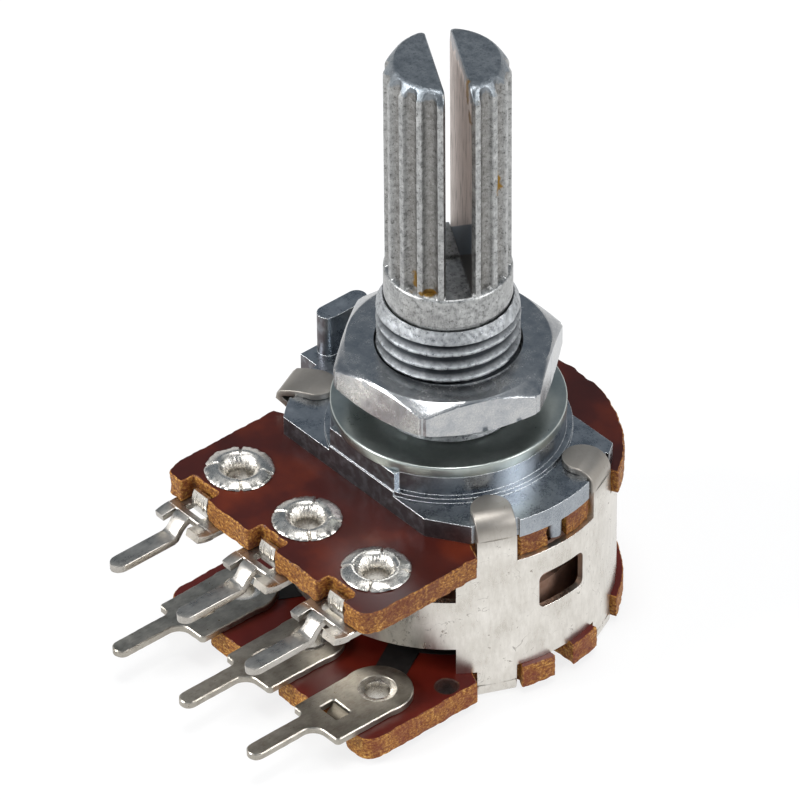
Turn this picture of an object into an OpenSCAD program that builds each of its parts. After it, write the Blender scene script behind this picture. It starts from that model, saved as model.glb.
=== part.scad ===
// Dual gang potentiometer, 16 mm class, with a threaded bushing and a knurled, slotted shaft.
// Millimetres. +Z is the shaft axis, away from the panel. The pins point to -Y, their row runs along X.
// The origin lies on the shaft axis, in the face of the boss that the panel sits against.

/* [Shaft] */
// height of the shaft's end above the panel face
shaft_end = 20.3; // [15:0.1:40]
// diameter over the knurl
knurl_d = 6.0; // [5:0.05:8]
// number of teeth round the knurl
knurl_teeth = 18; // [12:1:36]
// depth of the grooves between the teeth
knurl_depth = 0.38; // [0.1:0.02:0.8]
// height at which the knurl begins
knurl_start = 8.5; // [8:0.1:14]
// height of the slot's floor
slot_floor = 8.55; // [7.5:0.02:18]
// width of the slot in the end
slot_w = 1.2; // [0.6:0.05:2]
// direction of the slot in the rest position
slot_angle = -30; // [-180:1:180]
// chamfer round the end of the shaft
tip_chamfer = 0.45; // [0.1:0.05:0.8]
// height of that chamfer
tip_rise = 0.75; // [0.1:0.05:2]
// diameter of the smooth collar below the knurl
collar_d = 6.16; // [5.6:0.01:8]
// diameter of the bearing inside the bushing
bearing_d = 5.2; // [5.05:0.01:5.8]
// diameter of the drive that carries the rotors
drive_d = 5.0; // [4:0.05:6]
// width across the two flats of the drive
drive_flats = 4.0; // [3:0.05:5]
// diameter of the tail that turns in the rear wafer
tail_d = 3.5; // [2:0.05:4.5]

/* [Bushing and plate] */
// major diameter of the bushing thread
bushing_d = 6.94; // [6:0.01:10]
// length of the bushing above the panel face
bushing_len = 6.75; // [5:0.05:15]
// chamfer at the end of the bushing, along the axis
bushing_chamfer = 0.6; // [0.1:0.05:1.5]
// diameter of the round boss
boss_d = 11.3; // [9:0.1:14]
// height of the boss above the front plate
boss_h = 1.3; // [0.5:0.05:3]
// width of the flat pad on the terminal side of the boss
pad_w = 4.7; // [3:0.1:8]
// distance from the axis to the flat pad
pad_y = 5.46; // [4:0.02:7]
// diameter of the front plate
plate_d = 15.9; // [13:0.1:20]
// thickness of the front plate
plate_t = 1.05; // [0.6:0.05:2]
// distance from the axis to the plate's edge on the terminal side
plate_front = 5.54; // [5:0.02:7]
// distance from the axis to the plate's edge at the back
plate_back = 5.0; // [4:0.05:7]
// distance from the axis to the middle of the locating lug
lug_x = 8.3; // [7:0.05:10]
// offset of the lug along the plate's rim
lug_y = 0.4; // [-2:0.05:2]
// length of the lug along the rim
lug_len = 2.9; // [1.5:0.05:5]
// thickness of the lug
lug_t = 1.05; // [0.6:0.05:2]
// height of the lug above the plate
lug_h = 2.3; // [1:0.05:5]

/* [Nut and washer] */
// width of the nut across its flats
nut_af = 10; // [8:0.1:14]
// thickness of the nut
nut_t = 2.0; // [1:0.05:4]
// height of the nut's underside above the panel face
nut_z = 1.95; // [0.6:0.05:5]
// turn of the nut
nut_turn = 7; // [-30:1:30]
// outer diameter of the washer
washer_d = 11.35; // [9:0.05:16]
// thickness of the washer
washer_t = 0.58; // [0.3:0.02:1.5]

/* [Wafers] */
// thickness of the wafers
wafer_t = 1.25; // [0.8:0.05:2]
// how far the round part of the wafers stands out past the shell
wafer_over = 0.35; // [0:0.05:1]
// distance from the eyelets to the wafers' terminal edge
wafer_lip = 2.7; // [2.5:0.05:4]
// radius of the wafers' two front corners
wafer_corner = 1.2; // [0.2:0.1:3]
// distance between the wafers' facing sides
gap_h = 6.45; // [5:0.05:12]

/* [Terminals] */
// spacing of the pins
pitch = 5.0; // [4:0.1:6]
// distance from the shell to the row of eyelets
eyelet_out = 0.8; // [0.5:0.05:2]
// thickness of the terminal strip
term_t = 0.4; // [0.2:0.02:0.8]
// width of the terminal plates
term_w = 3.3; // [2.5:0.05:4.5]
// radius of the plates' inner ends
term_r = 1.75; // [1.3:0.05:2.2]
// how far the plates stand out past the wafers
term_over = 1.2; // [0.8:0.05:2]
// width of the pins
pin_w = 0.95; // [0.6:0.05:1.6]
// sideways offset of the pins from the eyelets
pin_off = -0.45; // [-1:0.05:1]
// length of the pins past the plates
pin_len = 3.7; // [2:0.1:9]
// how far the front pins are joggled down
joggle = 0.8; // [0:0.05:2]
// diameter of the flared eyelets
flare_d = 3.45; // [2.4:0.05:4]
// diameter of the hole through the eyelets
eyelet_bore = 1.1; // [0.6:0.05:1.6]

/* [Shell] */
// outer diameter of the shell
shell_d = 16.2; // [14:0.1:21]
// thickness of the shell's strip
shell_t = 0.35; // [0.2:0.01:0.6]
// half the angle between the claws of one side
claw_a = 24.5; // [15:0.5:40]
// width of the claws and tabs
claw_w = 1.98; // [1:0.02:4]
// how far the claws reach inward over the plate
claw_reach = 2.1; // [1:0.05:4]
// how far the tabs reach inward under the rear wafer
tab_reach = 1.3; // [0.6:0.05:3]
// width of the windows
window_w = 2.8; // [1:0.1:5]
// height of the windows
window_h = 2.05; // [1:0.05:4]

/* [Inside] */
// space between the rotors and the shell
rotor_gap = 1.15; // [0.5:0.05:2]
// thickness of the rotor discs
rotor_t = 1.7; // [1:0.05:3]
// space between a wafer and its rotor disc
wiper_gap = 1.1; // [0.8:0.05:2]
// thickness of the printed films
film_t = 0.05; // [0.02:0.01:0.2]
// width of the resistive track, as a share of the rotor's face between hub and rim
track_share = 0.4; // [0.2:0.01:0.5]
// width of the collector ring, as a share of that face
collector_share = 0.27; // [0.1:0.01:0.4]

/* [Clearances] */
// radial clearance of the bearings
bearing_gap = 0.05; // [0.02:0.01:0.2]
// clearance of the rotors on the drive
drive_gap = 0.03; // [0.02:0.01:0.2]
// clearance between pieces that are clamped or crimped together
seat_gap = 0.01; // [0:0.01:0.1]

/* [Hidden] */
$fn = 64;
eps = 0.01;
shell_r = shell_d / 2;
wafer_w = 3 * pitch;
wafer_r = shell_r + wafer_over;
eyelet_y = shell_r + eyelet_out;
wafer_front = eyelet_y + wafer_lip;
term_front = wafer_front + term_over;
pin_tip = term_front + pin_len;
rotor_d = 2 * (shell_r - shell_t - rotor_gap);
// locating hole of the rear wafer
hole_x = wafer_w / 2 - 0.8;
hole_y = eyelet_y - 2.9;
hole_d = 1.05;
plate_top = -boss_h;
plate_bot = plate_top - plate_t;
front_top = plate_bot;
front_bot = front_top - wafer_t;
rear_top = front_bot - gap_h;
rear_bot = rear_top - wafer_t;
// notches that let the claws and tabs pass
notch_w = claw_w + 0.35;
notch_r = shell_r - shell_t - 0.08;
// notches in the terminal edge, for the lanced tabs
edge_notch_w = 1.85;
edge_notch_d = 0.8;
edge_notch_off = -0.2;
// the lanced window and its tab
lance_w = 1.25;
lance_x = -0.15;
lance_in = 2.05;
tab_h = 0.85;
tab_t = 0.36;
// outside of the drawn eyelet, and the holes for it in the wafers
eyelet_d = eyelet_bore + 2 * 0.33;
eyelet_hole = eyelet_d + 2 * 0.05;
flare_t = 0.3;
// recess under the plate and the clip in it
recess_d = 9.4;
recess_h = 1.3;
recess_top = plate_bot + recess_h;
clip_t = 0.5;
clip_top = recess_top - 0.05;
clip_r = recess_d / 2 - 0.6;
groove_d = 4.2;
groove_gap = 0.03;
clip_mouth = groove_d * 0.76;
// neck under the collar, and the depth of its seat in the bushing's end
neck_d = collar_d - 0.12;
collar_seat = 0.5;
collar_lift = 0.1;
// ends of the flatted drive
drive_top = clip_top - clip_t - 0.05;
drive_bot = rear_top + 0.06;
// the slot lies along the row of pins at mid travel, half a turn from the rest position's end stop
rotor_turn = slot_angle + 180;
// rotor levels: a rotor's disc face lies wiper_gap from its wafer
hub_d = drive_d + 1.6;
face_w = (rotor_d - hub_d) / 2;
track_w = face_w * track_share;
track_r = rotor_d / 2 - 0.18 * face_w;
collector_w = face_w * collector_share;
collector_r = hub_d / 2 + 0.24 * face_w;
hub_over = 0.45;
front_disc = front_bot - wiper_gap;
rear_disc = rear_top + wiper_gap;
// band on the terminal side
band_top = front_bot - 2.05;
band_bot = rear_top + 1.5;
band_a = 38.7;
window_z = front_bot - 2.4;
window_r = 0.35;
// signs of a rectangle's corners, counterclockwise
window_x = [1, -1, -1, 1];
window_y = [1, 1, -1, -1];
seam_w = 0.12;
wiper_t = 0.18;

// a ring with an upright axis, from z0 up to z1
module ring(ro, ri, z0, z1) {
  translate([0, 0, z0])
    difference() {
      cylinder(r = ro, h = z1 - z0);
      translate([0, 0, -1]) cylinder(r = ri, h = z1 - z0 + 2);
    }
}

// a block from (x0, y0, z0) to (x1, y1, z1)
module block(a, b) {
  translate(a) cube(b - a);
}

// pieces repeated at the four claws
module at_claws() {
  for (a = [-claw_a, claw_a, 180 - claw_a, 180 + claw_a])
    rotate([0, 0, a]) children();
}

// zinc casting: bushing, boss, plate, locating lug
module bushing_plate() {
  bore = bearing_d / 2 + bearing_gap;
  seat = neck_d / 2 + bearing_gap;
  corner_a = claw_a + 9.1;
  corner_r = shell_r - 0.32;
  color([0.55, 0.57, 0.6])
    difference() {
      union() {
        // threaded bushing with its long lead chamfer
        rotate_extrude()
          polygon([[bore - 0.5, plate_bot], [bushing_d / 2, plate_bot],
                   [bushing_d / 2, bushing_len - bushing_chamfer],
                   [seat + 0.08, bushing_len], [bore - 0.5, bushing_len]]);
        // round boss, with a small step at its foot
        ring(boss_d / 2, bore - 0.5, plate_bot, 0);
        ring(boss_d / 2 + 0.3, bore - 0.5, plate_bot, plate_top + 0.25);
        block([-pad_w / 2, -pad_y - 0.5, plate_bot], [pad_w / 2, 0, 0]);
        // front plate, cut straight at the back
        intersection() {
          ring(plate_d / 2, bore - 0.5, plate_bot, plate_top);
          block([-plate_d, -plate_d, plate_bot - 1], [plate_d, plate_back, 1]);
        }
        // platform and post of the locating lug
        block([-lug_x - lug_t / 2 - 0.1, lug_y - lug_len / 2 - 0.7, plate_bot],
              [0, lug_y + lug_len / 2 + 0.4, plate_top]);
        for (s = [-1, 1])
          translate([-lug_x, lug_y + s * (lug_len - lug_t) / 2, plate_bot])
            cylinder(d = lug_t, h = plate_t + lug_h);
        block([-lug_x - lug_t / 2, lug_y - (lug_len - lug_t) / 2, plate_bot],
              [-lug_x + lug_t / 2, lug_y + (lug_len - lug_t) / 2, plate_top + lug_h]);
        // small pegs that key into the wafer's rim
        for (a = [0, 180])
          rotate([0, 0, a])
            translate([plate_d / 2 - 0.45, 0, plate_bot - 0.95]) cylinder(d = 0.86, h = 1.5);
      }
      // bearing bore, and the seat of the shaft's neck at its end
      translate([0, 0, plate_bot - 1]) cylinder(r = bore, h = bushing_len - plate_bot + 2);
      translate([0, 0, bushing_len - collar_seat]) cylinder(r = seat, h = collar_seat + 1);
      // recess for the clip
      translate([0, 0, plate_bot - 1]) cylinder(d = recess_d, h = recess_h + 1);
      // straight front of the plate, and of the pad and boss above their foot
      block([-plate_d, -2 * plate_d, plate_bot - 1], [plate_d, -plate_front, 1]);
      block([-plate_d, -2 * plate_d, plate_top + 0.25], [plate_d, -pad_y, 1]);
      // room for the claws
      at_claws()
        block([notch_r, -notch_w / 2, plate_bot - 1], [notch_r + 3, notch_w / 2, 1]);
      // corner cut of the plate beside the right claw
      translate([corner_r * cos(corner_a), -corner_r * sin(corner_a), plate_bot - 1])
        rotate([0, 0, -claw_a - 122.1]) block([-3, 0, 0], [4, 3, 4]);
    }
}

// flat washer, loose on the bushing
module mounting_washer() {
  color([0.6, 0.62, 0.6])
    ring(washer_d / 2, bushing_d / 2 + 0.12, 0, washer_t);
}

// thin nut, chamfered at 30 degrees on both faces
module hex_nut() {
  corner = nut_af / sqrt(3);
  face_r = nut_af / 2 - 0.1;
  rise = (corner - face_r) * tan(30);
  color([0.7, 0.7, 0.72])
    translate([0, 0, nut_z])
      difference() {
        intersection() {
          rotate([0, 0, nut_turn]) cylinder(r = corner, h = nut_t, $fn = 6);
          rotate_extrude()
            polygon([[0, 0], [face_r, 0], [corner, rise], [corner, nut_t - rise],
                     [face_r, nut_t], [0, nut_t]]);
        }
        translate([0, 0, -1]) cylinder(d = bushing_d + 0.06, h = nut_t + 2);
      }
}

// zinc casting: knurled and slotted end, collar, bearing, drive, tail
module shaft() {
  pitch_a = 360 / knurl_teeth;
  groove_r = knurl_d / 2 * sin(pitch_a / 2) * 0.72;
  knurl_len = shaft_end - knurl_start + eps;
  color([0.6, 0.6, 0.6])
    difference() {
      union() {
        // knurled end: the grooved section, chamfered at its tip
        translate([0, 0, knurl_start - eps])
          intersection() {
            linear_extrude(knurl_len + 1)
              difference() {
                circle(d = knurl_d);
                for (i = [0 : knurl_teeth - 1])
                  rotate(slot_angle + 7.5 + i * pitch_a)
                    translate([knurl_d / 2 + groove_r - knurl_depth, 0]) circle(r = groove_r);
              }
            rotate_extrude()
              polygon([[0, -1], [knurl_d / 2 + 0.1, -1],
                       [knurl_d / 2 + 0.1, knurl_len - tip_rise * (1 + 0.1 / tip_chamfer)],
                       [knurl_d / 2 - tip_chamfer, knurl_len], [0, knurl_len]]);
          }
        // neck that turns in the bushing's end
        translate([0, 0, bushing_len - collar_seat + seat_gap])
          cylinder(d = neck_d, h = collar_seat + collar_lift);
        // collar
        translate([0, 0, bushing_len + collar_lift])
          cylinder(d = collar_d, h = knurl_start - bushing_len - collar_lift);
        // bearing
        translate([0, 0, recess_top]) cylinder(d = bearing_d, h = bushing_len - recess_top);
        // grooved neck in the recess
        translate([0, 0, drive_top - eps]) cylinder(d = groove_d, h = recess_top - drive_top + 2 * eps);
        // drive with two flats
        intersection() {
          translate([0, 0, drive_bot]) cylinder(d = drive_d, h = drive_top - drive_bot);
          rotate([0, 0, slot_angle])
            block([-drive_d, -drive_flats / 2, rear_top - 1], [drive_d, drive_flats / 2, 0]);
        }
        // tail that turns in the rear wafer
        translate([0, 0, rear_bot + 0.1]) cylinder(d = tail_d, h = drive_bot - rear_bot);
      }
      // slot through the end
      rotate([0, 0, slot_angle])
        block([-knurl_d, -slot_w / 2, slot_floor], [knurl_d, slot_w / 2, shaft_end + 1]);
    }
}

// spring clip in the shaft's groove
module retaining_clip() {
  color([0.45, 0.45, 0.47])
    rotate([0, 0, slot_angle])
      difference() {
        ring(clip_r, groove_d / 2 + groove_gap, clip_top - clip_t, clip_top);
        block([0, -clip_mouth / 2, clip_top - clip_t - 1], [recess_d, clip_mouth / 2, clip_top + 1]);
      }
}

// outline of a wafer, as a solid from z0 up
module wafer_blank(z0) {
  translate([0, 0, z0])
    linear_extrude(wafer_t)
      difference() {
        union() {
          circle(r = wafer_r);
          translate([-wafer_w / 2, -wafer_front + wafer_corner])
            square([wafer_w, wafer_front - wafer_corner - 3]);
          translate([-wafer_w / 2 + wafer_corner, -wafer_front]) square([wafer_w - 2 * wafer_corner, 3]);
          for (s = [-1, 1])
            translate([s * (wafer_w / 2 - wafer_corner), -wafer_front + wafer_corner])
              circle(r = wafer_corner);
        }
        // notches for the claws and tabs
        for (a = [-claw_a, claw_a, 180 - claw_a, 180 + claw_a])
          rotate(a) translate([notch_r, -notch_w / 2]) square([3, notch_w]);
        // notches for the plate's pegs
        for (a = [0, 180])
          rotate(a) translate([plate_d / 2 - 1.0, -0.55]) square([3, 1.1]);
        // notches for the lanced tabs
        for (i = [-1 : 1])
          translate([i * pitch + edge_notch_off - edge_notch_w / 2, -wafer_front - 1])
            square([edge_notch_w, edge_notch_d + 1]);
        // holes for the eyelets
        for (i = [-1 : 1])
          translate([i * pitch, -eyelet_y]) circle(d = eyelet_hole);
      }
}

module front_wafer() {
  color([0.42, 0.14, 0.08])
    difference() {
      wafer_blank(front_bot);
      translate([0, 0, front_bot - 1]) cylinder(d = drive_d + 1.4, h = wafer_t + 2);
      // flush with the plate's rim between the claws
      for (a = [0, 180])
        rotate([0, 0, a])
          intersection() {
            ring(wafer_r + 2, plate_d / 2 - 0.05, front_bot - 1, front_top + 1);
            rotate([0, 0, -claw_a]) block([0, 0, front_bot - 2], [wafer_r + 3, wafer_r + 3, front_top + 2]);
            rotate([0, 0, claw_a]) block([0, -wafer_r - 3, front_bot - 2], [wafer_r + 3, 0, front_top + 2]);
          }
    }
}

module rear_wafer() {
  color([0.42, 0.14, 0.08])
    difference() {
      wafer_blank(rear_bot);
      translate([0, 0, rear_bot - 1]) cylinder(d = tail_d + 2 * bearing_gap, h = wafer_t + 2);
      translate([hole_x, -hole_y, rear_bot - 1]) cylinder(d = hole_d, h = wafer_t + 2);
    }
}

// terminal with its strip on z = 0 .. term_t below zero, eyelet drawn up through the wafer above it
// drop: how far the pin is joggled down
module terminal(drop) {
  tip_r = pin_w / 2;
  reach = term_front - eyelet_y;
  tip_y = pin_tip - tip_r - eyelet_y;
  lance_out = drop > 0 ? 2.75 : 2.95;
  color([0.75, 0.74, 0.7]) {
    difference() {
      union() {
        // plate with a round inner end
        translate([0, 0, -term_t]) cylinder(r = term_r, h = term_t);
        block([-term_w / 2, -reach, -term_t], [term_w / 2, 0, 0]);
        // straight pin
        if (drop <= 0) {
          block([pin_off - pin_w / 2, -tip_y, -term_t], [pin_off + pin_w / 2, -reach + 0.5, 0]);
          // fillet at the root of the pin
          block([pin_off, -reach - 0.7, -term_t], [pin_off + pin_w / 2 + 0.7, -reach + 0.5, 0]);
        }
      }
      // slits that free a joggled pin from the plate
      if (drop > 0)
        block([pin_off - pin_w / 2 - 0.08, -reach - 1, -term_t - 1],
              [pin_off + pin_w / 2 + 0.08, -reach + 0.7, 1]);
      // lanced window
      block([lance_x - lance_w / 2, -lance_out, -term_t - 1], [lance_x + lance_w / 2, -lance_in, 1]);
      // bore of the eyelet, with the drawn funnel at its mouth
      translate([0, 0, -term_t - 1]) cylinder(d = eyelet_bore, h = 2);
      translate([0, 0, -term_t - eps])
        rotate_extrude() polygon([[0, 0], [eyelet_bore / 2 + 0.3, 0], [eyelet_bore / 2, 0.32], [0, 0.32]]);
      // fillet at the root of a straight pin
      if (drop <= 0)
        translate([pin_off + pin_w / 2 + 0.7, -reach - 0.7, -term_t - 1]) cylinder(r = 0.7, h = 3);
    }
    // eyelet barrel and flare
    rotate_extrude()
      polygon([[eyelet_bore / 2, -0.05], [eyelet_d / 2, -0.05], [eyelet_d / 2, wafer_t + seat_gap],
               [flare_d / 2 - 0.1, wafer_t + seat_gap], [flare_d / 2, wafer_t + 0.1],
               [flare_d / 2 - 0.12, wafer_t + 0.22], [flare_d / 2 - 0.5, wafer_t + flare_t],
               [eyelet_bore / 2 + 0.35, wafer_t + flare_t - 0.05], [eyelet_bore / 2, wafer_t - 0.2]]);
    // joggled pin: slopes down out of the plate, then runs flat
    if (drop > 0)
      translate([pin_off, 0, 0])
        rotate([90, 0, -90])
          translate([0, 0, -pin_w / 2])
            linear_extrude(pin_w)
              polygon([[reach - 1, 0], [reach - 0.65, 0], [reach + 0.2, -drop], [tip_y, -drop],
                       [tip_y, -drop - term_t], [reach + 0.05, -drop - term_t],
                       [reach - 0.8, -term_t], [reach - 1, -term_t]]);
    // round end of the pin
    translate([pin_off, -tip_y, -drop - term_t]) cylinder(r = tip_r, h = term_t);
    // lanced tab, bent into the wafer's notch from the window's inner edge
    block([lance_x - lance_w / 2 + 0.06, -lance_in - tab_t, -term_t],
          [lance_x + lance_w / 2 - 0.06, -lance_in + 0.02, 0]);
    block([lance_x - lance_w / 2 + 0.06, -lance_in - tab_t, -eps],
          [lance_x + lance_w / 2 - 0.06, -lance_in, tab_h]);
  }
}

module front_terminal(i) {
  translate([i * pitch, -eyelet_y, front_bot]) terminal(joggle);
}

// the rear ones are the mirror image: strip above the wafer, eyelet drawn down
module rear_terminal(i) {
  translate([i * pitch, -eyelet_y, rear_top]) mirror([0, 0, 1]) terminal(0);
}

// formed strip round the two wafers
module shell() {
  ri = shell_r - shell_t;
  claw_end = shell_r - claw_reach;
  tab_end = shell_r - tab_reach;
  claw_z = plate_top + seat_gap;
  tab_z = rear_bot - seat_gap;
  color([0.8, 0.78, 0.74]) {
    difference() {
      ring(shell_r, ri, tab_z - shell_t, claw_z + shell_t);
      // the strip ends at the wafers, except where the legs of the claws and tabs pass them
      difference() {
        block([-shell_d, -shell_d, front_bot], [shell_d, shell_d, 5]);
        at_claws() block([ri / 2, -claw_w / 2, front_bot - 1], [shell_d, claw_w / 2, 6]);
      }
      difference() {
        block([-shell_d, -shell_d, rear_bot - 5], [shell_d, shell_d, rear_top]);
        at_claws() block([ri / 2, -claw_w / 2, rear_bot - 6], [shell_d, claw_w / 2, rear_top + 1]);
      }
      // open above and below the band on the terminal side
      difference() {
        block([-shell_d, -shell_d, band_top], [shell_d, 0, 1]);
        rotate([0, 0, -band_a]) block([0, 0, band_top - 1], [shell_d, 2 * shell_d, 2]);
        rotate([0, 0, 180 + band_a]) block([0, -2 * shell_d, band_top - 1], [shell_d, 0, 2]);
      }
      difference() {
        block([-shell_d, -shell_d, rear_top - 2], [shell_d, 0, band_bot]);
        rotate([0, 0, -band_a]) block([0, 0, rear_top - 3], [shell_d, 2 * shell_d, band_bot + 1]);
        rotate([0, 0, 180 + band_a]) block([0, -2 * shell_d, rear_top - 3], [shell_d, 0, band_bot + 1]);
      }
      // windows with rounded corners
      for (a = [0, 180])
        rotate([0, 0, a + 1])
          translate([ri / 2, 0, window_z])
            rotate([90, 0, 90])
              linear_extrude(shell_r)
                polygon([for (k = [0 : 3]) for (q = [0 : 18 : 90])
                  [window_x[k] * (window_w / 2 - window_r) + window_r * cos(90 * k + q),
                   window_y[k] * (window_h / 2 - window_r) + window_r * sin(90 * k + q)]]);
      // butt seam at the back
      block([-seam_w / 2, 0, rear_top - 1], [seam_w / 2, shell_d, front_bot + 1]);
    }
    at_claws() {
      // claw over the plate, with a round end
      block([claw_end + claw_w / 2, -claw_w / 2, claw_z], [ri + shell_t / 2, claw_w / 2, claw_z + shell_t]);
      translate([claw_end + claw_w / 2, 0, claw_z]) cylinder(d = claw_w, h = shell_t);
      // tab under the rear wafer
      block([tab_end, -claw_w / 2, tab_z - shell_t], [ri + shell_t / 2, claw_w / 2, tab_z]);
    }
  }
}

// printed resistive horseshoe with legs to the outer eyelets, on z = 0 .. film_t
module track() {
  open_a = 28;
  // a leg runs from its eyelet to the track just beside the opening
  leg_x = pitch - track_r * sin(open_a + 1.5);
  leg_y = eyelet_y - track_r * cos(open_a + 1.5);
  color([0.08, 0.08, 0.08])
    linear_extrude(film_t)
      difference() {
        union() {
          difference() {
            circle(r = track_r + track_w / 2);
            circle(r = track_r - track_w / 2);
            polygon([[0, 0], 2 * track_r * [-tan(open_a), -1], 2 * track_r * [tan(open_a), -1]]);
          }
          // legs
          for (s = [-1, 1])
            translate([s * pitch, -eyelet_y])
              rotate(s * atan2(leg_x, leg_y)) translate([-0.8, 0]) square([1.6, norm([leg_x, leg_y])]);
        }
        circle(r = track_r - track_w / 2);
        for (s = [-1, 1])
          translate([s * pitch, -eyelet_y]) circle(r = term_r + 0.04);
      }
}

// printed collector ring with a leg to the middle eyelet
module collector() {
  color([0.7, 0.7, 0.68])
    linear_extrude(film_t)
      difference() {
        union() {
          circle(r = collector_r + collector_w / 2);
          translate([-0.8, -eyelet_y]) square([1.6, eyelet_y - collector_r]);
        }
        circle(r = collector_r - collector_w / 2);
        translate([0, -eyelet_y]) circle(r = term_r + 0.04);
      }
}

module front_track() {
  translate([0, 0, front_bot - film_t]) track();
}

module rear_track() {
  translate([0, 0, rear_top]) track();
}

module front_collector() {
  translate([0, 0, front_bot - film_t]) collector();
}

module rear_collector() {
  translate([0, 0, rear_top]) collector();
}

// moulded rotor: disc face on z = 0, body below it, hub above and below
module rotor() {
  color([0.1, 0.09, 0.09])
    difference() {
      union() {
        translate([0, 0, -rotor_t]) cylinder(d = rotor_d, h = rotor_t);
        translate([0, 0, -rotor_t - 0.3]) cylinder(d = hub_d, h = rotor_t + 0.3 + hub_over);
        // rim that stiffens the disc
        ring(rotor_d / 2, rotor_d / 2 - 0.7, -rotor_t - 0.25, -rotor_t + eps);
        // studs that hold the wiper
        for (a = [20, 160, 270])
          rotate([0, 0, a]) translate([rotor_d / 2 - 1.1, 0, -eps]) cylinder(d = 0.8, h = wiper_t + 0.15);
      }
      // bore with two flats
      intersection() {
        translate([0, 0, -rotor_t - 2]) cylinder(d = drive_d + 2 * drive_gap, h = rotor_t + 5);
        block([-drive_d, -drive_flats / 2 - drive_gap, -rotor_t - 3],
              [drive_d, drive_flats / 2 + drive_gap, 4]);
      }
    }
}

// sprung ring with two contact arms, on z = 0 .. wiper_t
module wiper() {
  up = wiper_gap - film_t - 0.04;
  arm_w = 0.21 * face_w;
  color([0.72, 0.5, 0.25])
    difference() {
      union() {
        // ring, open under the arms
        difference() {
          ring(rotor_d / 2 - 0.15, hub_d / 2 + 0.1, 0, wiper_t);
          block([-1.7, collector_r - arm_w / 2 - 0.15, -1], [1.3, track_r + arm_w / 2 + 1, 1]);
        }
        // arms raised to the collector and to the track
        for (r = [collector_r, track_r])
          translate([0, r + arm_w / 2, 0])
            rotate([90, 0, 0])
              linear_extrude(arm_w)
                polygon([[-2.1, 0], [-1.6, 0], [-0.4, up - wiper_t - 0.1], [0, up - wiper_t],
                         [0.5, up - wiper_t - 0.25], [0.6, up - 0.25 - 0.08], [0.06, up], [-0.06, up],
                         [-0.5, up - 0.12], [-1.7, wiper_t], [-2.1, wiper_t]]);
      }
      for (a = [20, 160, 270])
        rotate([0, 0, a]) translate([rotor_d / 2 - 1.1, 0, -1]) cylinder(d = 0.8 + 2 * seat_gap, h = 3);
    }
}

module front_rotor() {
  translate([0, 0, front_disc]) rotate([0, 0, rotor_turn]) rotor();
}

module rear_rotor() {
  translate([0, 0, rear_disc]) rotate([0, 0, rotor_turn]) mirror([0, 0, 1]) rotor();
}

module front_wiper() {
  translate([0, 0, front_disc]) rotate([0, 0, rotor_turn]) wiper();
}

module rear_wiper() {
  translate([0, 0, rear_disc]) rotate([0, 0, rotor_turn]) mirror([0, 0, 1]) wiper();
}

bushing_plate();
mounting_washer();
hex_nut();
shaft();
retaining_clip();
front_wafer();
rear_wafer();
front_terminal(-1);  // front_terminal_a
front_terminal(0);  // front_terminal_b
front_terminal(1);  // front_terminal_c
rear_terminal(-1);  // rear_terminal_a
rear_terminal(0);  // rear_terminal_b
rear_terminal(1);  // rear_terminal_c
shell();
front_track();
rear_track();
front_collector();
rear_collector();
front_rotor();
rear_rotor();
front_wiper();
rear_wiper();
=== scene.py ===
import bmesh
import bpy
import numpy as np
from mathutils import Matrix, Vector
from mathutils.geometry import tessellate_polygon


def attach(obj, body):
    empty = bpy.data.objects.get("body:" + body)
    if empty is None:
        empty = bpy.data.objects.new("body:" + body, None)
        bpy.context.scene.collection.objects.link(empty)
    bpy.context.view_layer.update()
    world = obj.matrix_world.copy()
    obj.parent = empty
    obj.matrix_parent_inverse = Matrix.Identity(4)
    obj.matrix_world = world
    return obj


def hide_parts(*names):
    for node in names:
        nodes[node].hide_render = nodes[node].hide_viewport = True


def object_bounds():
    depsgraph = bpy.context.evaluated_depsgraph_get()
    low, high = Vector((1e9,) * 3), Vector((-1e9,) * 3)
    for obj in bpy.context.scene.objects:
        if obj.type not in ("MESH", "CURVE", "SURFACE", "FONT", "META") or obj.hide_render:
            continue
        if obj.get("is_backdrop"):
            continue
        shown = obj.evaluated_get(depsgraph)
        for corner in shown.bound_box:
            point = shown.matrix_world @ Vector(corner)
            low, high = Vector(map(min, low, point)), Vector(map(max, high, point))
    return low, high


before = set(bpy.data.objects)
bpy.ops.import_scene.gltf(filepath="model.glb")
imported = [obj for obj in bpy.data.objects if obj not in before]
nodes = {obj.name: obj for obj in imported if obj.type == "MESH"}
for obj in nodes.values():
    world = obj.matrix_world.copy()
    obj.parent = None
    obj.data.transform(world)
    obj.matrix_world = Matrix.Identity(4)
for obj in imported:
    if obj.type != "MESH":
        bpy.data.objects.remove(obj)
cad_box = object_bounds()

MM = 0.001
bpy.context.scene.view_settings.view_transform = "Standard"

# Camera: a long lens from the right of the pins, looking down on them, fitted to the pin spacing
# and the shaft. All sizes here are in millimetres until they go into the object.
view_azimuth, view_elevation, view_roll = np.radians([49.537, 38.313, -0.495])
camera_at = np.array([234.71, -203.25, 245.57])
focal_px, frame_px, sensor = 8287.4, 800, 36.0
level_right = np.array([np.cos(view_azimuth), np.sin(view_azimuth), 0.0])
ahead = np.array([-np.sin(view_azimuth) * np.cos(view_elevation),
                  np.cos(view_azimuth) * np.cos(view_elevation), -np.sin(view_elevation)])
level_up = np.cross(level_right, ahead)
cam_right = level_right * np.cos(view_roll) + level_up * np.sin(view_roll)
cam_up = level_up * np.cos(view_roll) - level_right * np.sin(view_roll)
camera = bpy.data.objects.new("camera", bpy.data.cameras.new("camera"))
camera.data.sensor_width = sensor
camera.data.lens = focal_px / frame_px * sensor
camera.data.clip_start, camera.data.clip_end = 0.01, 20.0
turn = np.eye(4)
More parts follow.
